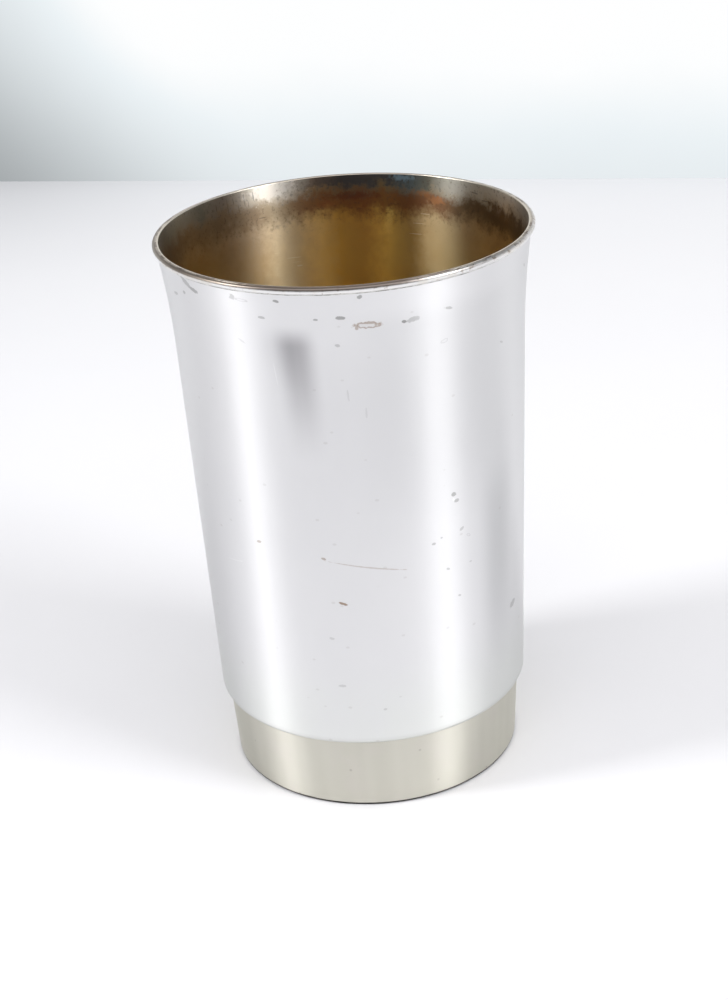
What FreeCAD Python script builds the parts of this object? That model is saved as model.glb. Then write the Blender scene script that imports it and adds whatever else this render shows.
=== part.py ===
"""Small footed beaker: a spun sheet-metal cup soldered to a hoop of thicker strip.

Millimetres. The origin is the centre of the foot's resting plane, and +Z runs up the axis.
Every piece is turned: a closed outline of radius and height, swept once round the axis.
"""

import FreeCAD, Part
import math
import os

BEAKER_HEIGHT = 65.0  # resting plane to lip

# Cup body, spun from one disc of sheet
SHEET_GAUGE = 0.40
FLOOR_GAUGE = 0.45
FOOT_HEIGHT = 9.16  # resting plane to the body's underside
BASE_RADIUS = 18.44  # wall's outside, where it would meet the underside
WALL_TAPER_DEG = 1.65  # how far the straight wall leans out
KNEE_HEIGHT = 58.2  # where the straight wall and the straight lip would meet
LIP_RADIUS = 20.86  # wall's outside at the lip
FLARE_RADIUS = 95.0  # the long curve that joins wall and lip
BOTTOM_EDGE = 0.60  # outside rounding of the bottom corner
FLOOR_CORNER = 0.80  # inside rounding of the bottom corner
LIP_EDGE_OUT = 0.08
LIP_EDGE_IN = 0.12

# Mouth wire, D-shaped, its flat side soldered round the outside of the lip
WIRE_WIDTH = 0.70
WIRE_DEPTH = 0.35
WIRE_SHOULDER = 0.12  # how far its top and underside run straight out from the lip
WIRE_DROP = 0.04  # how far its top sits under the lip

# Foot ring, a hoop of strip that narrows towards the table
FOOT_TOP_RADIUS = 17.70
FOOT_BASE_RADIUS = 17.15
STRIP_GAUGE = 0.90
FOOT_EDGE_OUT = 0.35
FOOT_EDGE_IN = 0.15

# Solder
SOLDER_FILM = 0.08  # between the foot ring and the underside
SOLDER_LEG = 0.15  # how far a fillet reaches from its corner

FOOT_RING_TOP = FOOT_HEIGHT - SOLDER_FILM
WIRE_TOP = BEAKER_HEIGHT - WIRE_DROP
WIRE_BOTTOM = WIRE_TOP - WIRE_WIDTH


def wall_radius(height):
    """Outside of the straight wall."""
    return BASE_RADIUS + (height - FOOT_HEIGHT) * math.tan(math.radians(WALL_TAPER_DEG))


def lip_radius(height):
    """Outside of the straight lip, above the flare."""
    knee = wall_radius(KNEE_HEIGHT)
    share = (height - KNEE_HEIGHT) / (BEAKER_HEIGHT - KNEE_HEIGHT)
    return knee + (LIP_RADIUS - knee) * share


def foot_radius(height):
    """Outside of the foot ring."""
    return FOOT_BASE_RADIUS + (FOOT_TOP_RADIUS - FOOT_BASE_RADIUS) * height / FOOT_RING_TOP


def on_lip(height):
    """Point on the outside of the straight lip."""
    return FreeCAD.Vector(lip_radius(height), 0, height)


def off_lip(height, reach):
    """Point that far straight out from the straight lip."""
    up = (on_lip(WIRE_TOP) - on_lip(WIRE_BOTTOM)).normalize()
    return on_lip(height) + FreeCAD.Vector(up.z, 0, -up.x) * reach


def straight(start, end):
    return Part.LineSegment(start, end).toShape()


def curved(start, middle, end):
    return Part.Arc(start, middle, end).toShape()


def outline_through(points):
    """Closed wire of straight edges."""
    return Part.makePolygon(points + points[:1])


def rounded_outline(corners):
    """Closed wire in the XZ plane through (radius, height, rounding) corners."""
    points = [FreeCAD.Vector(radius, 0, height) for radius, height, _ in corners]
    runs = []
    for i, (_, _, rounding) in enumerate(corners):
        here = points[i]
        back = (points[i - 1] - here).normalize()
        ahead = (points[(i + 1) % len(points)] - here).normalize()
        if rounding == 0:
            runs.append((here, None, here))
            continue
        half_angle = back.getAngle(ahead) / 2
        bisector = (back + ahead).normalize()
        to_tangent = rounding / math.tan(half_angle)
        to_middle = rounding / math.sin(half_angle) - rounding
        runs.append((here + back * to_tangent, here + bisector * to_middle, here + ahead * to_tangent))
    edges = []
    for i, (start, middle, end) in enumerate(runs):
        if middle is not None:
            edges.append(curved(start, middle, end))
        edges.append(straight(end, runs[(i + 1) % len(runs)][0]))
    return Part.Wire(edges)


def turned(outline):
    """Solid swept by a closed outline once round the axis."""
    return Part.Face(outline).revolve(FreeCAD.Vector(0, 0, 0), FreeCAD.Vector(0, 0, 1), 360)


def cup_body():
    """Floor, tapered wall and flared lip in one thickness of sheet."""
    floor = FOOT_HEIGHT + FLOOR_GAUGE
    knee = wall_radius(KNEE_HEIGHT)
    return turned(rounded_outline([
        (0, FOOT_HEIGHT, 0),
        (BASE_RADIUS, FOOT_HEIGHT, BOTTOM_EDGE),
        (knee, KNEE_HEIGHT, FLARE_RADIUS),
        (LIP_RADIUS, BEAKER_HEIGHT, LIP_EDGE_OUT),
        (LIP_RADIUS - SHEET_GAUGE, BEAKER_HEIGHT, LIP_EDGE_IN),
        (knee - SHEET_GAUGE, KNEE_HEIGHT, FLARE_RADIUS + SHEET_GAUGE),
        (wall_radius(floor) - SHEET_GAUGE, floor, FLOOR_CORNER),
        (0, floor, 0),
    ]))


def mouth_wire():
    """D-shaped wire with its flat side against the straight lip."""
    low = off_lip(WIRE_BOTTOM, WIRE_SHOULDER)
    high = off_lip(WIRE_TOP, WIRE_SHOULDER)
    crest = off_lip((WIRE_BOTTOM + WIRE_TOP) / 2, WIRE_DEPTH)
    return turned(Part.Wire([
        straight(on_lip(WIRE_BOTTOM), low),
        curved(low, crest, high),
        straight(high, on_lip(WIRE_TOP)),
        straight(on_lip(WIRE_TOP), on_lip(WIRE_BOTTOM)),
    ]))


def lip_solder():
    """Fillet in the corner between the lip and the wire's underside."""
    return turned(outline_through([
        on_lip(WIRE_BOTTOM),
        off_lip(WIRE_BOTTOM, WIRE_SHOULDER),
        on_lip(WIRE_BOTTOM - SOLDER_LEG),
    ]))


def foot_ring():
    """Hoop of strip; its lower outside edge is eased where it meets the table."""
    return turned(rounded_outline([
        (FOOT_BASE_RADIUS - STRIP_GAUGE, 0, FOOT_EDGE_IN),
        (FOOT_BASE_RADIUS, 0, FOOT_EDGE_OUT),
        (FOOT_TOP_RADIUS, FOOT_RING_TOP, 0),
        (FOOT_TOP_RADIUS - STRIP_GAUGE, FOOT_RING_TOP, 0),
    ]))


def foot_solder():
    """Film between hoop and underside, with a fillet at each side of the hoop."""
    low = FOOT_RING_TOP - SOLDER_LEG
    inner_top = FOOT_TOP_RADIUS - STRIP_GAUGE
    inner_low = foot_radius(low) - STRIP_GAUGE
    section = [
        (FOOT_TOP_RADIUS + SOLDER_LEG, FOOT_HEIGHT),
        (foot_radius(low), low),
        (FOOT_TOP_RADIUS, FOOT_RING_TOP),
        (inner_top, FOOT_RING_TOP),
        (inner_low, low),
        (inner_top - SOLDER_LEG, FOOT_HEIGHT),
    ]
    return turned(outline_through([FreeCAD.Vector(radius, 0, height) for radius, height in section]))


os.makedirs("parts", exist_ok=True)
for piece in (cup_body, mouth_wire, lip_solder, foot_ring, foot_solder):
    solid = piece()
    solid.exportStep(f"parts/{piece.__name__}.step")
    print(f"{piece.__name__}: valid {solid.isValid()}, {solid.Volume:.1f} cubic mm")
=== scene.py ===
"""Small footed silver beaker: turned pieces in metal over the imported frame, on a pale table.

Metres, in the frame's own axes: the foot's resting plane is z = 0 and +Z is the beaker's axis.
Azimuths are degrees round that axis, 0 towards -Y and rising towards +X.
"""
import math

import bmesh
import bpy
from mathutils import Matrix, Vector


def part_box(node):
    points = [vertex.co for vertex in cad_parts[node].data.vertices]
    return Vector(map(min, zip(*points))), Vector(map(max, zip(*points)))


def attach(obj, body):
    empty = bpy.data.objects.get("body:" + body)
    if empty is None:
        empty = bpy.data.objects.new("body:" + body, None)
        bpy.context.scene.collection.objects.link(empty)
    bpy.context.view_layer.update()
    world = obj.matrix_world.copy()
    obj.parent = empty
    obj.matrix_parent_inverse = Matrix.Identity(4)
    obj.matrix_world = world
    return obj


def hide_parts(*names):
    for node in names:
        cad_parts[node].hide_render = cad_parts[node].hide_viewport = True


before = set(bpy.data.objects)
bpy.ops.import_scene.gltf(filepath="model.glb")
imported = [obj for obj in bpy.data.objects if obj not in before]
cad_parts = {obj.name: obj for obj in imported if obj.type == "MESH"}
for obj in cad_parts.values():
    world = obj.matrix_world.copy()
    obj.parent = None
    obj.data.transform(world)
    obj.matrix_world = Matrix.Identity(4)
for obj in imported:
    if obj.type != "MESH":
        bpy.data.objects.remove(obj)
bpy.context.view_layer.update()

MM = 0.001

# Sizes that the frame's boxes don't tell, from the part's own outline, in millimetres
SHEET_GAUGE = 0.40
FLOOR_GAUGE = 0.45
BASE_RADIUS = 18.44
WALL_TAPER_DEG = 1.65
KNEE_HEIGHT = 58.2
FLARE_RADIUS = 95.0
BOTTOM_EDGE = 0.60
FLOOR_CORNER = 0.80
LIP_EDGE_OUT = 0.08
LIP_EDGE_IN = 0.12
WIRE_SHOULDER = 0.12
WIRE_DEPTH = 0.35
FOOT_BASE_RADIUS = 17.15
STRIP_GAUGE = 0.90
FOOT_EDGE_OUT = 0.35
FOOT_EDGE_IN = 0.15
SOLDER_LEG = 0.15

TURN_STEPS = 360  # facets round the axis
ROUNDING_STEPS = 96  # chords in a full turn of a rounded corner
LEAST_ROUNDING_STEPS = 6
WIRE_ARC_STEPS = 20
LONGEST_SIDE = 1.0  # of an outline, in millimetres
ON_AXIS = 1e-6  # a smaller radius than this is on the axis
SHARP_DEG = 40  # edges that fold more than this stay sharp


def box_mm(node):
    """A node's lowest and highest corners in millimetres."""
    low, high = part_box(node)
    return low / MM, high / MM


body_low, body_high = box_mm("cup_body")
wire_low, wire_high = box_mm("mouth_wire")
_, ring_high = box_mm("foot_ring")
LIP_HEIGHT = body_high.z
LIP_RADIUS = body_high.x
FOOT_HEIGHT = body_low.z
WIRE_TOP = wire_high.z
WIRE_BOTTOM = wire_low.z
RING_TOP = ring_high.z
RING_TOP_RADIUS = ring_high.x


# ---------------------------------------------------------------- shader expressions


class Value:
    """A shader socket. Arithmetic on it adds Math nodes."""

    def __init__(self, recipe, socket):
        self.recipe = recipe
        self.socket = socket

    def _math(self, operation, *others):
        return self.recipe.add("ShaderNodeMath", {"operation": operation}, dict(enumerate((self, *others))))

    def _reflected(self, operation, other):
        return self.recipe.add("ShaderNodeMath", {"operation": operation}, {0: other, 1: self})

    def __add__(self, other):
        return self._math("ADD", other)

    __radd__ = __add__

    def __sub__(self, other):
        return self._math("SUBTRACT", other)

    def __rsub__(self, other):
        return self._reflected("SUBTRACT", other)

    def __mul__(self, other):
        return self._math("MULTIPLY", other)

    __rmul__ = __mul__

    def __truediv__(self, other):
        return self._math("DIVIDE", other)

    def __rtruediv__(self, other):
        return self._reflected("DIVIDE", other)

    def __mod__(self, other):
        return self._math("FLOORED_MODULO", other)

    def __neg__(self):
        return self._math("MULTIPLY", -1.0)

    def __abs__(self):
        return self._math("ABSOLUTE")

    def root(self):
        """Square root."""
        return self._math("SQRT")

    def most(self, other):
        """The larger of the two."""
        return self._math("MAXIMUM", other)

    def angle_over(self, other):
        """Degrees from the direction of other towards the direction of this value."""
        return self._math("ARCTAN2", other) * math.degrees(1.0)


class Recipe:
    """A material and its node tree."""

    def __init__(self, name):
        self.material = bpy.data.materials.new(name)
        self.material.use_nodes = True
        self.tree = self.material.node_tree
        self.tree.nodes.clear()

    def add(self, kind, settings=None, sockets=None, output=0):
        """Adds a node: first its settings, then its sockets' values or links. Returns one output, if any."""
        node = self.tree.nodes.new(kind)
        for key, setting in (settings or {}).items():
            if key == "stops":
                self._set_stops(node.color_ramp, setting)
            else:
                setattr(node, key, setting)
        for key, value in (sockets or {}).items():
            if isinstance(value, Value):
                self.tree.links.new(value.socket, node.inputs[key])
            else:
                node.inputs[key].default_value = value
        return Value(self, node.outputs[output]) if node.outputs else None

    @staticmethod
    def _set_stops(ramp, stops):
        while len(ramp.elements) < len(stops):
            ramp.elements.new(0.5)
        for element, (position, colour) in zip(ramp.elements, stops):
            element.position = position
            element.color = (*colour, 1.0)

    def place(self):
        """Object coordinates in millimetres: the vector, x, y and z."""
        metres = self.add("ShaderNodeTexCoord", output="Object")
        vector = self.add("ShaderNodeVectorMath", {"operation": "SCALE"}, {0: metres, "Scale": 1 / MM})
        split = self.add("ShaderNodeSeparateXYZ", None, {0: vector})
        outputs = split.socket.node.outputs
        return vector, Value(self, outputs[0]), Value(self, outputs[1]), Value(self, outputs[2])

    def vector(self, x, y, z):
        """A vector from three values."""
        return self.add("ShaderNodeCombineXYZ", None, {0: x, 1: y, 2: z})

    def rise(self, value, start, end, low=0.0, high=1.0):
        """Smooth step of a value from low at start to high at end, level outside."""
        return self.add(
            "ShaderNodeMapRange",
            {"interpolation_type": "SMOOTHSTEP", "clamp": True},
            {"Value": value, "From Min": start, "From Max": end, "To Min": low, "To Max": high},
        )

    def noise(self, vector, scale, detail=3.0, roughness=0.5):
        """Soft noise, about 0.5 on average; scale is in features a unit of the vector."""
        return self.add(
            "ShaderNodeTexNoise",
            {"noise_dimensions": "3D", "normalize": True},
            {"Vector": vector, "Scale": scale, "Detail": detail, "Roughness": roughness},
        )

    def cells(self, vector, scale):
        """Distance to the nearest of many scattered points."""
        return self.add("ShaderNodeTexVoronoi", {"feature": "F1"}, {"Vector": vector, "Scale": scale})

    def blend(self, share, first, second, how="MIX"):
        """First colour where share is 0; where it is 1, the second, or the two combined as how says."""
        settings = {"data_type": "RGBA", "blend_type": how, "clamp_factor": True}
        return self.add("ShaderNodeMix", settings, {0: share, 6: colour(first), 7: colour(second)}, output=2)

    def ramp(self, value, stops):
        """Colour from a value by a ramp."""
        return self.add("ShaderNodeValToRGB", {"stops": stops}, {0: value})

    def bump(self, height, strength):
        """Normal from a height in millimetres."""
        return self.add("ShaderNodeBump", None, {"Height": height, "Strength": strength, "Distance": MM})

    def surface(self, shader):
        """The material, once its shader is on its surface."""
        self.add("ShaderNodeOutputMaterial", None, {"Surface": shader})
        return self.material

    def metal(self, sockets):
        """The material as bare metal."""
        return self.surface(self.add("ShaderNodeBsdfPrincipled", None, {"Metallic": 1.0, **sockets}))


def colour(value):
    """A colour's four numbers from three, or a socket as it is."""
    return value if isinstance(value, Value) else (*value, 1.0)


# ---------------------------------------------------------------- metal finishes

# How far turning marks stretch a highlight up and down
BODY_SMEAR = 0.85
INSIDE_SMEAR = 0.75
FOOT_SMEAR = 0.95
SMEAR_TURN = 0.25  # a quarter turn from the lathe's direction of travel
MM_A_DEGREE = math.radians(1.0) * 19.3  # round the wall, at its middle radius
# Every roughness here stays over 0.275: the denoiser takes smoother metal for a mirror, and where a
# finish wanders across that value the render shows fine wriggles.


def turned_lines(recipe, x, y, z, per_mm, wander):
    """Fine rings left by turning: noise of height alone, wandering slightly round the piece."""
    drift = recipe.noise(recipe.vector(x, y, z * 0.2), 0.03, 1.0) * wander
    rings = recipe.vector(x * 0.01, y * 0.01, z + drift)
    return recipe.noise(rings, per_mm, 2.0, 0.6)


def oval_distance(azimuth, z, oval):
    """How far a point is from the middle of a mark: 1 on its outline."""
    turn = math.radians(oval["turn"])
    around = (azimuth - oval["azimuth"]) * MM_A_DEGREE
    up = z - oval["height"]
    along = around * (math.cos(turn) / oval["long"]) + up * (math.sin(turn) / oval["long"])
    across = up * (math.cos(turn) / oval["wide"]) - around * (math.sin(turn) / oval["wide"])
    return (along * along + across * across).root()


def mark(azimuth, height, long, wide, turn=0.0, depth=0.5, kind="grey", hollow=False):
    """A wear mark: half its length and half its width in millimetres, its slope in degrees."""
    return {
        "azimuth": azimuth, "height": height, "long": long, "wide": wide,
        "turn": turn, "depth": depth, "kind": kind, "hollow": hollow,
    }


WEAR_MARKS = [
    mark(5.0, 60.5, 1.45, 0.36, -2, 0.75, "brown", hollow=True),
    mark(1.9, 60.32, 0.20, 0.30, 0, 0.55, "brown"),
    mark(5.4, 60.70, 1.05, 0.10, -4, 0.60, "brown"),
    mark(15.9, 60.35, 0.26, 0.16, -6, 0.80),
    mark(18.4, 60.4, 0.66, 0.26, 8, 0.42),
    mark(19.6, 60.45, 0.40, 0.26, 20, 0.45, hollow=True),
    mark(-2.6, 61.5, 0.46, 0.20, -6, 0.62),
    mark(-9.8, 61.4, 0.24, 0.13, 0, 0.55),
    mark(-26.2, 61.4, 0.38, 0.15, -10, 0.42),
    mark(-21.0, 63.4, 0.32, 0.16, -12, 0.65),
    mark(3.2, 63.7, 0.26, 0.20, 10, 0.60),
    mark(-35.2, 63.35, 0.34, 0.30, 20, 0.36),
    mark(-32.4, 63.15, 0.80, 0.16, -6, 0.26, hollow=True),
    mark(-4.0, 58.4, 0.26, 0.16, -20, 0.34),
    mark(30.3, 60.8, 0.50, 0.15, -16, 0.42),
    mark(29.0, 57.2, 0.42, 0.22, 10, 0.24, hollow=True),
    mark(31.2, 39.1, 0.30, 0.28, -8, 0.62),
    mark(32.2, 38.25, 0.34, 0.20, 0, 0.50),
    mark(31.0, 38.5, 0.16, 0.16, 0, 0.50, "bright"),
    mark(34.0, 34.6, 0.30, 0.18, 30, 0.34),
    mark(-13.8, 33.4, 0.28, 0.15, -14, 0.55, "brown"),
    mark(-8.6, 27.8, 0.58, 0.15, -20, 0.85, "brown"),
    mark(1.0, 32.2, 4.2, 0.085, -11, 0.34, "brown"),
    mark(-37.2, 34.4, 0.36, 0.14, 6, 0.50, "brown"),
    mark(23.0, 33.8, 0.24, 0.17, 0, 0.50),
    mark(26.0, 34.3, 0.16, 0.10, 0, 0.40),
    mark(36.8, 33.5, 0.28, 0.14, -30, 0.30, hollow=True),
    mark(28.2, 30.2, 0.24, 0.13, -20, 0.42),
    mark(32.4, 26.4, 0.22, 0.12, -20, 0.36),
    mark(37.5, 30.1, 0.20, 0.10, 0, 0.26),
    mark(62.2, 20.9, 0.80, 0.42, 10, 0.36),
    mark(-11.2, 17.1, 0.50, 0.16, 0, 0.26),
    mark(3.2, 13.8, 0.26, 0.16, 0, 0.24),
    mark(-13.4, 23.3, 0.30, 0.16, -10, 0.24),
    mark(-55.0, 63.6, 0.95, 0.30, -32, 0.38),
    mark(-51.5, 63.0, 0.70, 0.24, -12, 0.50),
    mark(-57.5, 62.2, 0.26, 0.20, 8, 0.40),
    mark(-63.8, 61.5, 0.60, 0.18, 8, 0.34),
    mark(-36.0, 64.2, 1.6, 0.08, 0, 0.24),
    mark(-50.2, 30.8, 1.2, 0.05, 8, 0.35, "bright"),
    mark(-46.8, 31.0, 0.30, 0.05, 8, 0.45, "bright"),
    mark(-24.0, 55.0, 0.05, 1.3, 5, 0.30, "bright"),
    mark(54.4, 54.4, 0.34, 0.10, -26, 0.26),
    mark(71.0, 61.2, 0.50, 0.16, -30, 0.24),
    mark(-34.5, 58.4, 0.50, 0.10, -30, 0.18),
    mark(-2.0, 52.8, 0.10, 0.70, 4, 0.16),
    mark(3.2, 50.6, 0.10, 0.60, 0, 0.14),
]


RAGGEDNESS = 1.1  # how far noise moves a mark's outline


def wear(recipe, vector, azimuth, z, marks):
    """Share of each kind of mark at a point, ragged at its edges and uneven inside."""
    flake = recipe.noise(vector, 2.4, 2.0, 0.6) - 0.54
    shares = {}
    for each in marks:
        distance = oval_distance(azimuth, z, each) + flake * RAGGEDNESS
        inside = recipe.rise(distance, 0.78, 1.10, 1.0, 0.0)
        if each["hollow"]:
            inside = inside * recipe.rise(distance, 0.45, 0.85, 0.12, 1.0)
        inside = inside * each["depth"]
        kind = each["kind"]
        shares[kind] = shares[kind].most(inside) if kind in shares else inside
    return shares


DARK_REFLECTION_AZIMUTH = -16.8
DARK_REFLECTION_HEIGHT = 57.0
DARK_REFLECTION_LEAN = 0.10  # degrees round for each millimetre up
HALO_OFFSET = 5.5  # degrees from the dark reflection's middle to that of its halo
SHADOW_REFLECTION_AZIMUTH = 51.5


def painted_dark_reflection(recipe, azimuth, z):
    """Share of a painted dark reflection under the lip: soft-edged, fading and leaning as it runs down."""
    off_middle = azimuth - DARK_REFLECTION_AZIMUTH + (z - DARK_REFLECTION_HEIGHT) * DARK_REFLECTION_LEAN
    core = recipe.rise(abs(off_middle), 8.0, 0.8) * 0.92
    halo = recipe.rise(abs(off_middle + HALO_OFFSET), 8.0, 0.0) * recipe.rise(z, 52.0, 58.0) * 0.22
    upright = recipe.rise(z, 60.9, 58.0) * recipe.rise(z, 44.0, 60.0)
    return (core + halo) * upright


def painted_shadow_reflection(recipe, azimuth, z):
    """Share of a fainter painted shadow low on the other side: the beaker's own shadow on the table, as
    mirrored there.
    """
    upright = recipe.rise(z, 43.0, 35.0) * recipe.rise(z, 12.0, 30.0)
    return recipe.rise(abs(azimuth - SHADOW_REFLECTION_AZIMUTH), 11.0, 1.0) * upright * 0.28


def painted_streak_shade(recipe, azimuth, z):
    """Share of a patch under the lip, painted slightly darker: painted shade that tones down the bright
    streak there.
    """
    upright = recipe.rise(z, 33.0, 46.0) * recipe.rise(z, 62.5, 59.5)
    return upright * recipe.rise(azimuth, -4.0, 14.0) * recipe.rise(azimuth, 66.0, 44.0)


DULL_SILVER = (0.755, 0.757, 0.763)
CLEAR_SILVER = (0.81, 0.809, 0.808)
GREENISH_SILVER = (0.762, 0.785, 0.745)
STREAK_SHADE_SILVER = (0.62, 0.625, 0.625)
DARK_REFLECTION_GREY = (0.41, 0.405, 0.415)
SHADOW_REFLECTION_GREY = (0.42, 0.43, 0.43)
EDGE_SHADE_GREY = (0.45, 0.45, 0.42)
SPECK_GREY = (0.42, 0.40, 0.37)
WORN_TONES = {"grey": (0.25, 0.25, 0.24), "brown": (0.30, 0.20, 0.13), "bright": (0.95, 0.95, 0.95)}
BODY_ROUGHNESS = 0.29


def polished_silver():
    """Outside of the body: silver off the lathe, handled for years, with painted reflections and shade on
    it.
    """
    recipe = Recipe("polished_silver")
    vector, x, y, z = recipe.place()
    azimuth = x.angle_over(-y)
    worn = wear(recipe, vector, azimuth, z, WEAR_MARKS)

    rings = turned_lines(recipe, x, y, z, 3.2, 0.6)
    coarse_rings = turned_lines(recipe, x, y, z, 0.55, 1.2)
    haze = recipe.noise(recipe.vector(x, y, z * 0.6), 0.09, 3.0, 0.55)
    specks = recipe.cells(recipe.vector(x, y, z * 1.6), 0.30)
    speck = recipe.rise(specks, 0.05, 0.09, 0.20, 0.0)
    low_haze = recipe.rise(z, 22.0, 10.0) * recipe.rise(haze, 0.30, 0.60, 0.5, 1.0)
    # Painted shade along the body's bottom edge, just above the foot
    painted_edge_shade = recipe.rise(z, 10.2, 9.5)

    silver = recipe.blend(haze, DULL_SILVER, CLEAR_SILVER)
    silver = recipe.blend(low_haze * 0.6, silver, GREENISH_SILVER)
    # Painted reflection: a dark grey patch under the lip stands for something dark mirrored there
    silver = recipe.blend(painted_dark_reflection(recipe, azimuth, z), silver, DARK_REFLECTION_GREY)
    # Painted shadow: the beaker's shadow on the table, mirrored low on the right of the body
    silver = recipe.blend(painted_shadow_reflection(recipe, azimuth, z), silver, SHADOW_REFLECTION_GREY)
    # Painted shade: dims the bright streak on the right of the body under the lip
    silver = recipe.blend(painted_streak_shade(recipe, azimuth, z) * 0.3, silver, STREAK_SHADE_SILVER)
    silver = recipe.blend(painted_edge_shade * 0.25, silver, EDGE_SHADE_GREY)
    silver = recipe.blend(speck, silver, SPECK_GREY)
    for kind, tone in WORN_TONES.items():
        silver = recipe.blend(worn[kind], silver, tone)
    roughness = (rings - 0.5) * 0.014 + (haze - 0.5) * 0.014 + worn["grey"] * 0.2 + BODY_ROUGHNESS
    relief = (rings - 0.5) * 0.0008 + (coarse_rings - 0.5) * 0.0008 - worn["brown"] * 0.008
    return recipe.metal({
        "Base Color": silver,
        "Specular Tint": (0.86, 0.86, 0.86, 1.0),
        "Roughness": roughness,
        "Anisotropic": BODY_SMEAR,
        "Anisotropic Rotation": SMEAR_TURN,
        "Normal": recipe.bump(relief, 0.6),
    })


# The film's colours round the inside, by share of a turn: deep in the cup, and at its lip. Besides the
# film's own colours they hold painted highlights: the beige columns near 148 and 204 degrees and the pale
# stops near 112 and 200 degrees stand for the windows' reflections.
DEEP_FILM_AND_HIGHLIGHTS = [
    (0.00, (0.60, 0.47, 0.30)),
    (0.31, (0.54, 0.41, 0.25)),
    (0.344, (0.52, 0.38, 0.21)),
    (0.367, (0.46, 0.33, 0.18)),
    (0.389, (0.50, 0.41, 0.25)),
    (0.411, (0.76, 0.63, 0.40)),
    (0.433, (0.50, 0.33, 0.13)),
    (0.456, (0.86, 0.61, 0.17)),
    (0.478, (0.55, 0.31, 0.08)),
    (0.50, (0.68, 0.41, 0.10)),
    (0.522, (0.88, 0.65, 0.28)),
    (0.544, (0.80, 0.65, 0.41)),
    (0.567, (0.86, 0.76, 0.57)),
    (0.586, (0.52, 0.43, 0.32)),
    (0.611, (0.60, 0.46, 0.31)),
    (0.64, (0.44, 0.36, 0.25)),
    (0.68, (0.36, 0.30, 0.205)),
    (1.00, (0.60, 0.47, 0.30)),
]
LIP_FILM_AND_HIGHLIGHTS = [
    (0.00, (0.45, 0.42, 0.36)),
    (0.31, (0.80, 0.75, 0.65)),
    (0.35, (0.60, 0.56, 0.48)),
    (0.39, (0.50, 0.48, 0.42)),
    (0.415, (0.18, 0.18, 0.15)),
    (0.435, (0.17, 0.21, 0.22)),
    (0.455, (0.11, 0.11, 0.11)),
    (0.50, (0.09, 0.085, 0.085)),
    (0.525, (0.20, 0.16, 0.13)),
    (0.55, (0.72, 0.68, 0.60)),
    (0.59, (0.66, 0.62, 0.54)),
    (0.615, (0.36, 0.31, 0.26)),
    (0.65, (0.18, 0.17, 0.14)),
    (0.69, (0.36, 0.35, 0.29)),
    (1.00, (0.45, 0.42, 0.36)),
]
DEEPER_FILM = (0.42, 0.28, 0.07)
BLOTCH_BROWN = (0.36, 0.22, 0.09)
RUST_BROWN = (0.11, 0.072, 0.04)
RUST_RED = (0.20, 0.075, 0.035)
PEPPER_BROWN = (0.10, 0.07, 0.05)
SCRATCH_TONES = {"bright": (0.95, 0.86, 0.66), "grey": (0.06, 0.05, 0.04)}
INSIDE_ROUGHNESS = 0.31
# Marks in the film, each with its colour: stains, and at 204 degrees a painted highlight
FILM_STAINS_AND_GLARE = [
    (mark(145.5, 62.1, 1.0, 0.5, 0, 0.36), (0.60, 0.26, 0.11)),
    (mark(151.0, 62.9, 1.3, 0.40, 0, 0.45), (0.50, 0.22, 0.09)),
    (mark(158.5, 64.5, 1.5, 0.45, 0, 0.75), (0.34, 0.52, 0.66)),
    (mark(163.5, 59.5, 0.55, 1.6, 0, 0.70), (0.95, 0.70, 0.22)),
    (mark(176.0, 62.4, 3.2, 0.60, 0, 0.60), (0.14, 0.045, 0.03)),
    (mark(186.0, 61.6, 1.2, 0.50, 0, 0.50), (0.32, 0.12, 0.05)),
    # Painted highlight: white glare of a window mirrored at the far lip
    (mark(204.0, 64.2, 3.2, 1.30, 0, 0.90), (0.99, 0.96, 0.90)),
    (mark(112.0, 62.2, 5.5, 1.10, 0, 0.60), (0.17, 0.11, 0.065)),
]
FILM_SCRATCHES = [
    mark(198.6, 55.7, 0.95, 0.06, 3, 0.85, "bright"),
    mark(196.8, 54.6, 0.36, 0.09, 0, 0.85, "bright"),
    mark(197.6, 55.1, 0.70, 0.04, 2, 0.55, "bright"),
    mark(205.0, 56.6, 0.40, 0.05, 0, 0.50, "bright"),
    mark(152.0, 59.2, 0.80, 0.05, 0, 0.60, "bright"),
    mark(153.4, 57.9, 0.95, 0.05, 0, 0.55, "bright"),
    mark(150.2, 60.4, 0.60, 0.06, 0, 0.50, "bright"),
    mark(211.0, 63.9, 0.07, 0.55, 0, 0.50),
    mark(213.2, 63.1, 0.05, 0.40, 0, 0.35),
    mark(214.6, 63.8, 0.06, 0.80, 0, 0.40),
    mark(217.2, 63.0, 0.07, 0.50, 0, 0.30),
    mark(219.0, 63.9, 0.05, 0.45, 0, 0.45),
    mark(221.6, 63.4, 0.06, 0.95, 0, 0.30),
    mark(226.5, 63.7, 0.07, 0.50, 0, 0.40),
    mark(208.4, 61.2, 0.50, 0.07, 0, 0.45),
    mark(130.0, 63.8, 0.60, 0.08, 4, 0.50),
    mark(124.0, 63.2, 0.70, 0.08, -4, 0.50),
]


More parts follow.
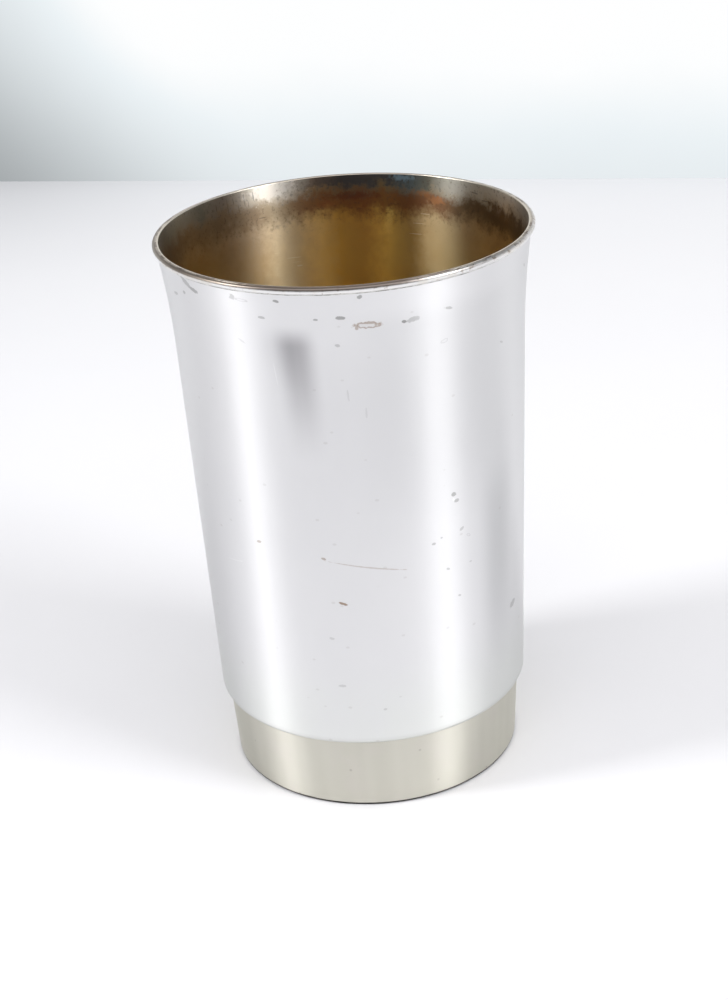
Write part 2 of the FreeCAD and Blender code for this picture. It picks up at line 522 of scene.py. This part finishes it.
def tarnished_gilding():
    """Inside of the body: a brown and golden film, darker and bluer towards the lip, with painted highlights
    in its colours.
    """
    recipe = Recipe("tarnished_gilding")
    vector, x, y, z = recipe.place()
    azimuth = x.angle_over(-y)
    around = azimuth % 360.0
    rings = turned_lines(recipe, x, y, z, 2.6, 0.8)
    column = recipe.noise(recipe.vector(x, y, z * 0.05), 0.16, 3.0, 0.6)
    cloud = recipe.noise(recipe.vector(x, y, z * 0.8), 0.22, 4.0, 0.6)
    blotch = recipe.noise(vector, 0.75, 3.0, 0.65)
    fine = recipe.noise(vector, 2.6, 2.0, 0.6)

    # Ragged boundaries: noise moves each point round and up before its colour is looked up
    wander = (cloud - 0.5) * 8.0 + (blotch - 0.5) * 5.0
    turn = ((around + wander) % 360.0) / 360.0
    depth = z + (cloud - 0.5) * 3.4 + (blotch - 0.5) * 2.6 + (fine - 0.5) * 1.4

    film = recipe.blend(blotch * 0.5 + column * 0.3 - 0.28, recipe.ramp(turn, DEEP_FILM_AND_HIGHLIGHTS), BLOTCH_BROWN)
    film = recipe.blend(recipe.rise(z, 61.0, 53.0) * 0.8, film, DEEPER_FILM, "SCREEN")
    rust = recipe.rise(depth, 59.0, 61.6) * recipe.rise(depth, 64.2, 62.4)
    rust = rust * recipe.rise(around, 204.0, 188.0, 0.55, 1.0)
    reddest = recipe.rise(around, 132.0, 150.0) * recipe.rise(around, 206.0, 192.0)
    film = recipe.blend(rust * 0.85, film, recipe.blend(reddest, RUST_BROWN, RUST_RED))
    film = recipe.blend(recipe.rise(depth, 61.9, 64.1), film, recipe.ramp(turn, LIP_FILM_AND_HIGHLIGHTS))
    pepper = recipe.rise(fine, 0.56, 0.68) * recipe.rise(z, 57.0, 62.0)
    film = recipe.blend(pepper * 0.35, film, PEPPER_BROWN)
    for patch, tone in FILM_STAINS_AND_GLARE:
        distance = oval_distance(around, z, patch) + (blotch - 0.5) * 2.4 + (fine - 0.5) * 1.2
        film = recipe.blend(recipe.rise(distance, 1.25, 0.35) * patch["depth"], film, tone)
    scratch = wear(recipe, vector, around, z, FILM_SCRATCHES)
    for kind, tone in SCRATCH_TONES.items():
        film = recipe.blend(scratch[kind], film, tone)
    return recipe.metal({
        "Base Color": film,
        "Roughness": (rings - 0.5) * 0.03 + (cloud - 0.5) * 0.03 + INSIDE_ROUGHNESS,
        "Anisotropic": INSIDE_SMEAR,
        "Anisotropic Rotation": SMEAR_TURN,
        "Normal": recipe.bump((rings - 0.5) * 0.0025, 0.6),
    })


LIP_HIGHLIGHT_RADIUS = 20.66  # where the painted highlight along the lip's inner edge starts
FRONT_OF_LIP = -4.0  # the azimuth that the lip's brown part is centred on
LIP_BROWN = (0.20, 0.155, 0.12)
LIP_HIGHLIGHT_CREAM = (0.80, 0.745, 0.64)


def lip_tarnish_and_highlight():
    """The lip's narrow top: brown, with a painted highlight in cream along its inner edge and in patches on
    its sides.
    """
    recipe = Recipe("lip_tarnish_and_highlight")
    vector, x, y, _ = recipe.place()
    azimuth = x.angle_over(-y)
    from_axis = (x * x + y * y).root()
    cloud = recipe.noise(vector, 0.45, 3.0, 0.6)
    spot = recipe.noise(vector, 1.6, 2.0, 0.6)
    # Painted highlight: cream along the inner edge, fainter at the front, with patches on the sides
    lip_highlight = recipe.rise(from_axis + (spot - 0.5) * 0.16, LIP_HIGHLIGHT_RADIUS, LIP_HIGHLIGHT_RADIUS - 0.10)
    side = recipe.rise(abs(azimuth - FRONT_OF_LIP), 14.0, 40.0) * recipe.rise(abs(azimuth), 160.0, 142.0)
    lip_highlight = lip_highlight * (side * 0.55 + 0.45) + side * recipe.rise(cloud, 0.40, 0.58) * 0.65
    return recipe.metal({
        "Base Color": recipe.blend(lip_highlight, LIP_BROWN, LIP_HIGHLIGHT_CREAM),
        "Roughness": cloud * 0.10 + 0.28,
        "Normal": recipe.bump(spot * 0.008, 0.5),
    })


WIRE_SILVER = (0.80, 0.795, 0.785)
YELLOWED_SILVER = (0.70, 0.65, 0.57)
WIRE_SPOT_BROWN = (0.35, 0.28, 0.22)
TOPSIDE_BROWN = (0.13, 0.10, 0.08)
TOPSIDE_PALE_BROWN = (0.27, 0.225, 0.18)


def lip_silver():
    """The wire: polished like the body, a little yellowed in spots."""
    recipe = Recipe("lip_silver")
    vector, x, y, z = recipe.place()
    cloud = recipe.noise(vector, 0.35, 3.0, 0.6)
    spot = recipe.noise(vector, 1.8, 2.0, 0.6)
    azimuth = x.angle_over(-y)
    silver = recipe.blend(recipe.rise(cloud, 0.45, 0.65) * 0.5, WIRE_SILVER, YELLOWED_SILVER)
    silver = recipe.blend(recipe.rise(spot, 0.60, 0.70) * 0.5, silver, WIRE_SPOT_BROWN)
    kept_clean = recipe.rise(azimuth, 14.0, 34.0, 0.0, 0.8) * recipe.rise(spot, 0.80, 0.45)
    paler = recipe.rise(abs(azimuth - FRONT_OF_LIP), 20.0, 46.0)
    brown = recipe.blend(paler, TOPSIDE_BROWN, TOPSIDE_PALE_BROWN)
    topside = recipe.rise(z + (spot - 0.5) * 0.10, 64.62, 64.76) * (1.0 - kept_clean)
    return recipe.metal({
        "Base Color": recipe.blend(topside * 0.92, silver, brown),
        "Roughness": cloud * 0.16 + 0.28,
        "Normal": recipe.bump(spot * 0.006, 0.5),
    })


DULL_NICKEL = (0.595, 0.582, 0.508)
CLEAR_NICKEL = (0.685, 0.67, 0.592)
WARM_NICKEL = (0.66, 0.625, 0.575)
NICKEL_SPOT = (0.30, 0.28, 0.24)
CONTACT_SHADE_BLACK = (0.035, 0.03, 0.028)
FOOT_ROUGHNESS = 0.305


def satin_nickel_silver():
    """The foot: warmer, straight-grained satin, with a painted contact shadow where it meets the table."""
    recipe = Recipe("satin_nickel_silver")
    vector, x, y, z = recipe.place()
    rings = turned_lines(recipe, x, y, z, 3.0, 0.5)
    cloud = recipe.noise(vector, 0.25, 3.0, 0.55)
    streak = recipe.noise(recipe.vector(x, y, z * 0.02), 0.42, 1.0, 0.4)
    spot = recipe.rise(recipe.cells(vector, 0.55), 0.12, 0.07) * recipe.rise(cloud, 0.48, 0.56)
    # Painted contact shadow: near black in the lowest few tenths of a millimetre, where the foot meets the
    # table
    contact_shade = recipe.rise(z + (cloud - 0.5) * 0.12, 0.40, 0.24)
    nickel = recipe.blend(streak, DULL_NICKEL, CLEAR_NICKEL)
    nickel = recipe.blend(recipe.rise(cloud, 0.45, 0.70) * 0.35, nickel, WARM_NICKEL)
    nickel = recipe.blend(spot * 0.35, nickel, NICKEL_SPOT)
    nickel = recipe.blend(contact_shade, nickel, CONTACT_SHADE_BLACK)
    return recipe.metal({
        "Base Color": nickel,
        "Specular Tint": (0.88, 0.88, 0.86, 1.0),
        "Roughness": (rings - 0.5) * 0.012 + (streak - 0.5) * 0.012 + contact_shade * 0.3 + FOOT_ROUGHNESS,
        "Anisotropic": FOOT_SMEAR,
        "Anisotropic Rotation": SMEAR_TURN,
        "Normal": recipe.bump((rings - 0.5) * 0.0016, 0.6),
    })


PIT_AZIMUTH = 26.7
SOLDER_DARK = (0.28, 0.27, 0.245)
SOLDER_PALE = (0.78, 0.77, 0.73)
PIT_SHADE_BLACK = (0.02, 0.018, 0.015)


def dull_solder():
    """Solder: cloudy grey, with one small pit in the joint above the foot, painted black as its shade."""
    recipe = Recipe("dull_solder")
    vector, x, y, z = recipe.place()
    cloud = recipe.noise(vector, 0.9, 3.0, 0.6)
    azimuth = x.angle_over(-y)
    solder = recipe.blend(recipe.rise(cloud, 0.35, 0.65), SOLDER_DARK, SOLDER_PALE)
    # Painted shade: the pit is only a black spot in the colour
    pit = recipe.rise(abs(azimuth - PIT_AZIMUTH), 1.1, 0.4) * recipe.rise(z, 20.0, 15.0)
    return recipe.metal({
        "Base Color": recipe.blend(pit, solder, PIT_SHADE_BLACK),
        "Roughness": cloud * 0.25 + 0.28,
        "Normal": recipe.bump(cloud * 0.03, 0.5),
    })


# ---------------------------------------------------------------- turned pieces


def wall_radius(height):
    """Outside of the straight wall."""
    return BASE_RADIUS + (height - FOOT_HEIGHT) * math.tan(math.radians(WALL_TAPER_DEG))


def lip_point(height, reach=0.0):
    """Point on the outside of the straight lip, or that far straight out from it."""
    knee = wall_radius(KNEE_HEIGHT)
    slope = (LIP_RADIUS - knee) / (LIP_HEIGHT - KNEE_HEIGHT)
    across = math.hypot(1.0, slope)
    radius = knee + slope * (height - KNEE_HEIGHT)
    return Vector((radius + reach / across, height - reach * slope / across))


def ring_radius(height):
    """Outside of the foot ring."""
    return FOOT_BASE_RADIUS + (RING_TOP_RADIUS - FOOT_BASE_RADIUS) * height / RING_TOP


def rounded(corners):
    """Outline through (radius, height, rounding) corners, with each rounding cut into short chords."""
    points = [Vector(corner[:2]) for corner in corners]
    outline = []
    for i, (_, _, rounding) in enumerate(corners):
        here = points[i]
        if rounding == 0:
            outline.append(here)
            continue
        back = (points[i - 1] - here).normalized()
        ahead = (points[(i + 1) % len(points)] - here).normalized()
        half_angle = back.angle(ahead) / 2
        middle = here + (back + ahead).normalized() * (rounding / math.sin(half_angle))
        first = here + back * (rounding / math.tan(half_angle)) - middle
        last = here + ahead * (rounding / math.tan(half_angle)) - middle
        sweep = first.angle_signed(last)
        steps = max(LEAST_ROUNDING_STEPS, math.ceil(abs(sweep) / math.tau * ROUNDING_STEPS))
        for step in range(steps + 1):
            turn = Matrix.Rotation(-sweep * step / steps, 2)
            outline.append(middle + turn @ first)
    return outline


def divided(outline):
    """The closed outline with extra points, so that no side is longer than LONGEST_SIDE."""
    points = []
    for i, here in enumerate(outline):
        there = outline[(i + 1) % len(outline)]
        pieces = max(1, math.ceil((there - here).length / LONGEST_SIDE))
        points += [here.lerp(there, step / pieces) for step in range(pieces)]
    return points


def turned_piece(name, outline, material, unevenness=None):
    """Closed outline of (radius, height) in millimetres, anticlockwise, swept once round the axis.

    unevenness(azimuth in radians, height) gives a point's move outwards in millimetres.
    """
    mesh = bmesh.new()
    rows = []
    for radius, height in outline:
        if radius < ON_AXIS:
            centre = mesh.verts.new((0, 0, height * MM))
            rows.append([centre] * TURN_STEPS)
            continue
        row = []
        for step in range(TURN_STEPS):
            azimuth = math.tau * step / TURN_STEPS
            moved = radius + (unevenness(azimuth, height) if unevenness else 0.0)
            point = (math.sin(azimuth) * moved * MM, -math.cos(azimuth) * moved * MM, height * MM)
            row.append(mesh.verts.new(point))
        rows.append(row)
    for i, low in enumerate(rows):
        high = rows[(i + 1) % len(rows)]
        if low[0] is low[1] and high[0] is high[1]:
            continue
        for step in range(TURN_STEPS):
            after = (step + 1) % TURN_STEPS
            corners = []
            for vertex in (low[step], low[after], high[after], high[step]):
                if vertex not in corners:
                    corners.append(vertex)
            mesh.faces.new(corners)
    bmesh.ops.recalc_face_normals(mesh, faces=mesh.faces)
    data = bpy.data.meshes.new(name)
    mesh.to_mesh(data)
    mesh.free()
    data.materials.append(material)
    data.shade_smooth()
    data.set_sharp_from_angle(angle=math.radians(SHARP_DEG))
    piece = bpy.data.objects.new(name, data)
    bpy.context.scene.collection.objects.link(piece)
    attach(piece, "root")
    return piece


WAVE_HEIGHT = 0.008
WAVES_FROM = 12.0  # up the wall
WAVES_TO = 63.5
WAVES_FADE = 6.0


def spinning_waves(azimuth, height):
    """The wall's slight hand-finished unevenness: long waves, about a hundredth of a millimetre high."""
    share = max(0.0, min(1.0, (height - WAVES_FROM) / WAVES_FADE, (WAVES_TO - height) / WAVES_FADE))
    slow = math.sin(2 * azimuth + 0.11 * height) + 0.6 * math.sin(3 * azimuth - 0.07 * height + 1.3)
    quick = 0.25 * math.sin(7 * azimuth + 0.21 * height + 0.6)
    return WAVE_HEIGHT * share * (slow + quick)


INSIDE_SLOT = 1  # the body's second material
LIP_SLOT = 2  # and its third


def beaker_body():
    """Spun cup: polished outside, tarnished inside, brown on top of its lip with a painted highlight along
    it.
    """
    floor = FOOT_HEIGHT + FLOOR_GAUGE
    knee = wall_radius(KNEE_HEIGHT)
    outline = divided(rounded([
        (0, FOOT_HEIGHT, 0),
        (BASE_RADIUS, FOOT_HEIGHT, BOTTOM_EDGE),
        (knee, KNEE_HEIGHT, FLARE_RADIUS),
        (LIP_RADIUS, LIP_HEIGHT, LIP_EDGE_OUT),
        (LIP_RADIUS - SHEET_GAUGE, LIP_HEIGHT, LIP_EDGE_IN),
        (knee - SHEET_GAUGE, KNEE_HEIGHT, FLARE_RADIUS + SHEET_GAUGE),
        (wall_radius(floor) - SHEET_GAUGE, floor, FLOOR_CORNER),
        (0, floor, 0),
    ]))
    body = turned_piece("beaker_body", outline, polished_silver(), spinning_waves)
    body.data.materials.append(tarnished_gilding())
    body.data.materials.append(lip_tarnish_and_highlight())
    for face in body.data.polygons:
        centre = face.center
        radius = math.hypot(centre.x, centre.y)
        facing_in = face.normal.x * centre.x + face.normal.y * centre.y < -0.3 * radius
        on_floor = face.normal.z > 0.3 and centre.z < (LIP_HEIGHT - 5) * MM
        if centre.z > (LIP_HEIGHT - LIP_EDGE_IN) * MM and face.normal.z > 0.2:
            face.material_index = LIP_SLOT
        elif facing_in or on_floor:
            face.material_index = INSIDE_SLOT
    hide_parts("cup_body")


def beaker_lip_wire():
    """D-shaped wire, its flat side on the outside of the lip."""
    low = lip_point(WIRE_BOTTOM)
    high = lip_point(WIRE_TOP)
    middle = lip_point((WIRE_BOTTOM + WIRE_TOP) / 2)
    outward = lip_point(middle.y, 1.0) - middle
    upward = Vector((-outward.y, outward.x))
    half = (high - low).length / 2
    rise = WIRE_DEPTH - WIRE_SHOULDER
    arc_radius = (half * half + rise * rise) / (2 * rise)
    arc_centre = middle + outward * (WIRE_DEPTH - arc_radius)
    spread = math.asin(half / arc_radius)
    outline = [low]
    for step in range(WIRE_ARC_STEPS + 1):
        turn = spread * (2 * step / WIRE_ARC_STEPS - 1)
        from_centre = outward * math.cos(turn) + upward * math.sin(turn)
        outline.append(arc_centre + from_centre * arc_radius)
    outline.append(high)
    wire = turned_piece("beaker_lip_wire", outline, lip_silver())
    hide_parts("mouth_wire")


def beaker_lip_solder():
    """Fillet in the corner between the lip and the wire's underside."""
    outline = [
        lip_point(WIRE_BOTTOM - SOLDER_LEG),
        lip_point(WIRE_BOTTOM, WIRE_SHOULDER),
        lip_point(WIRE_BOTTOM),
    ]
    solder = turned_piece("beaker_lip_solder", outline, dull_solder())
    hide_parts("lip_solder")


def beaker_foot_ring():
    """Hoop of strip that narrows towards the table."""
    outline = divided(rounded([
        (FOOT_BASE_RADIUS - STRIP_GAUGE, 0, FOOT_EDGE_IN),
        (FOOT_BASE_RADIUS, 0, FOOT_EDGE_OUT),
        (RING_TOP_RADIUS, RING_TOP, 0),
        (RING_TOP_RADIUS - STRIP_GAUGE, RING_TOP, 0),
    ]))
    ring = turned_piece("beaker_foot_ring", outline, satin_nickel_silver())
    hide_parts("foot_ring")


def beaker_foot_solder():
    """Film between hoop and underside, with a fillet at each side of the hoop."""
    low = RING_TOP - SOLDER_LEG
    inner_top = RING_TOP_RADIUS - STRIP_GAUGE
    inner_low = ring_radius(low) - STRIP_GAUGE
    outline = [
        Vector((inner_top - SOLDER_LEG, FOOT_HEIGHT)),
        Vector((inner_low, low)),
        Vector((inner_top, RING_TOP)),
        Vector((RING_TOP_RADIUS, RING_TOP)),
        Vector((ring_radius(low), low)),
        Vector((RING_TOP_RADIUS + SOLDER_LEG, FOOT_HEIGHT)),
    ]
    solder = turned_piece("beaker_foot_solder", outline, dull_solder())
    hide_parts("foot_solder")


# ---------------------------------------------------------------- table, backdrop and lights

TABLE_EDGE = 0.250  # behind the beaker
TABLE_EDGE_TURN = math.radians(-13.0)
TABLE_REACH = 3.0
BACKDROP_HEIGHT = 0.18
BACKDROP_HALF_WIDTH = 1.2
SHEET_PIECES = 24  # along each side

ROOM_TINT = (0.96, 0.96, 1.0, 1.0)
WINDOW_TINT = (1.0, 0.995, 1.0)
CEILING_TINT = (0.985, 0.98, 1.0)
LIGHTS_AIM = Vector((0, 0, 0.03))


def towards(azimuth_deg, elevation_deg):
    """Direction from the beaker at that azimuth and elevation."""
    azimuth = math.radians(azimuth_deg)
    elevation = math.radians(elevation_deg)
    level = math.cos(elevation)
    return Vector((math.sin(azimuth) * level, -math.cos(azimuth) * level, math.sin(elevation)))


def flat_sheet(name, corners, material):
    """Flat four-cornered sheet, divided into a grid."""
    mesh = bmesh.new()
    grid = []
    for i in range(SHEET_PIECES + 1):
        low = corners[0].lerp(corners[1], i / SHEET_PIECES)
        high = corners[3].lerp(corners[2], i / SHEET_PIECES)
        grid.append([mesh.verts.new(low.lerp(high, j / SHEET_PIECES)) for j in range(SHEET_PIECES + 1)])
    for i in range(SHEET_PIECES):
        for j in range(SHEET_PIECES):
            mesh.faces.new((grid[i][j], grid[i + 1][j], grid[i + 1][j + 1], grid[i][j + 1]))
    data = bpy.data.meshes.new(name)
    mesh.to_mesh(data)
    mesh.free()
    data.materials.append(material)
    data.shade_smooth()
    sheet = bpy.data.objects.new(name, data)
    bpy.context.scene.collection.objects.link(sheet)


PAPER_GREY = (0.785, 0.785, 0.80)
PAPER_WHITE = (0.82, 0.82, 0.833)
PAPER_SHADE = (0.30, 0.30, 0.31)
ACROSS_TABLE = 0.23  # how far back the table's own far edge runs for each millimetre across


def table_paper():
    """White laminate with a slight sheen, with painted shade: darker towards its far edge, and more so in
    its far left corner.
    """
    recipe = Recipe("table_paper")
    vector, x, y, _ = recipe.place()
    cloud = recipe.noise(vector, 0.02, 3.0)
    behind = y + x * ACROSS_TABLE
    corner = recipe.rise(behind, 150.0, 262.0) * recipe.rise(x, 10.0, -95.0)
    far = recipe.rise(behind, 60.0, 300.0)
    paper = recipe.blend(cloud, PAPER_GREY, PAPER_WHITE)
    # Painted shade towards the far edge and in the far left corner
    paper = recipe.blend(corner * 0.15 + far * 0.32, paper, PAPER_SHADE)
    sockets = {"Base Color": paper, "Roughness": 0.42, "Specular IOR Level": 0.5}
    return recipe.surface(recipe.add("ShaderNodeBsdfPrincipled", None, sockets))


BLACK = (0.0, 0.0, 0.0)
WHITE = (1.0, 1.0, 1.0)
CYAN_TINT = (0.915, 0.972, 1.0)


def glowing_backdrop():
    """Sheet that glows with painted light: dimmer low and to the left, brighter higher up, where the
    beaker's edges mirror it.
    """
    recipe = Recipe("glowing_backdrop")
    vector, x, _, z = recipe.place()
    cloud = (recipe.noise(vector, 0.03, 4.0) - 0.5) * 0.05
    leftward = recipe.rise(x + z * 0.70, -104.0, -12.0, 0.44, 1.0)
    leftward = leftward + recipe.rise(x, -112.0, -190.0, 0.0, 0.45)
    upward = recipe.rise(z, -8.0, 38.0, 0.86, 1.02)
    above = recipe.rise(z, 48.0, 120.0, 1.0, 1.25)
    # Painted light: the sheet's tones are its own glow, not lamp light on it
    tone = leftward * upward * above + cloud
    tint = recipe.blend(recipe.rise(tone, 0.90, 1.04), CYAN_TINT, WHITE)
    glow = recipe.blend(tone, BLACK, tint)
    return recipe.surface(recipe.add("ShaderNodeEmission", None, {"Color": glow, "Strength": 1.0}))


def lay_table():
    """The table and, standing on its far edge, the backdrop."""
    along = Vector((math.cos(TABLE_EDGE_TURN), math.sin(TABLE_EDGE_TURN), 0))
    middle = Vector((0, TABLE_EDGE, 0))
    left = middle - along * TABLE_REACH
    right = middle + along * TABLE_REACH
    near = Vector((0, -2 * TABLE_REACH, 0))
    flat_sheet("table", [left + near, right + near, right, left], table_paper())
    left = middle - along * BACKDROP_HALF_WIDTH
    right = middle + along * BACKDROP_HALF_WIDTH
    top = Vector((0, 0, BACKDROP_HEIGHT))
    flat_sheet("backdrop", [left, right, right + top, left + top], glowing_backdrop())


def soft_light(name, azimuth, elevation, distance, width, height, watts, tint):
    """Rectangle of light that faces the beaker from that azimuth and elevation in degrees."""
    data = bpy.data.lights.new(name, "AREA")
    data.shape = "RECTANGLE"
    data.size = width
    data.size_y = height
    data.energy = watts
    data.color = tint
    light = bpy.data.objects.new(name, data)
    away = towards(azimuth, elevation)
    light.location = LIGHTS_AIM + away * distance
    light.rotation_euler = away.to_track_quat("Z", "Y").to_euler()
    bpy.context.scene.collection.objects.link(light)


def room(strength):
    """Even light from all round."""
    world = bpy.data.worlds.new("room")
    world.use_nodes = True
    background = world.node_tree.nodes["Background"]
    background.inputs["Color"].default_value = ROOM_TINT
    background.inputs["Strength"].default_value = strength
    bpy.context.scene.world = world


def light_studio():
    """Two narrow windows, one each side, and a broad ceiling."""
    room(strength=0.22)
    soft_light("window_left", -77, 34, distance=0.9, width=0.18, height=0.40, watts=4.3, tint=WINDOW_TINT)
    soft_light("window_right", 57, 34, distance=0.9, width=0.30, height=0.40, watts=4.4, tint=WINDOW_TINT)
    soft_light("ceiling", 0, 70, distance=1.0, width=1.1, height=1.1, watts=6.6, tint=CEILING_TINT)


CAMERA_PLACE = Vector((0.0, -0.2000, 0.1262))
CAMERA_PITCH_DEG = 25.38
CAMERA_PAN_DEG = 0.07
CAMERA_ROLL_DEG = -3.89
CAMERA_LENS_MM = 67.52
CAMERA_SENSOR_MM = 36.0


def set_camera():
    """Camera in front of the beaker, looking down into its mouth, rolled slightly."""
    data = bpy.data.cameras.new("camera")
    data.lens = CAMERA_LENS_MM
    data.sensor_width = CAMERA_SENSOR_MM
    data.sensor_fit = "AUTO"
    data.clip_start = 0.005
    data.clip_end = 20.0
    camera = bpy.data.objects.new("camera", data)
    turn = (
        Matrix.Rotation(math.radians(-CAMERA_PAN_DEG), 4, "Z")
        @ Matrix.Rotation(math.radians(90 - CAMERA_PITCH_DEG), 4, "X")
        @ Matrix.Rotation(math.radians(CAMERA_ROLL_DEG), 4, "Z")
    )
    camera.matrix_world = Matrix.Translation(CAMERA_PLACE) @ turn
    bpy.context.scene.collection.objects.link(camera)
    bpy.context.scene.camera = camera


set_camera()
beaker_body()
beaker_lip_wire()
beaker_lip_solder()
beaker_foot_ring()
beaker_foot_solder()
lay_table()
light_studio()
bpy.context.scene.view_settings.view_transform = "Standard"
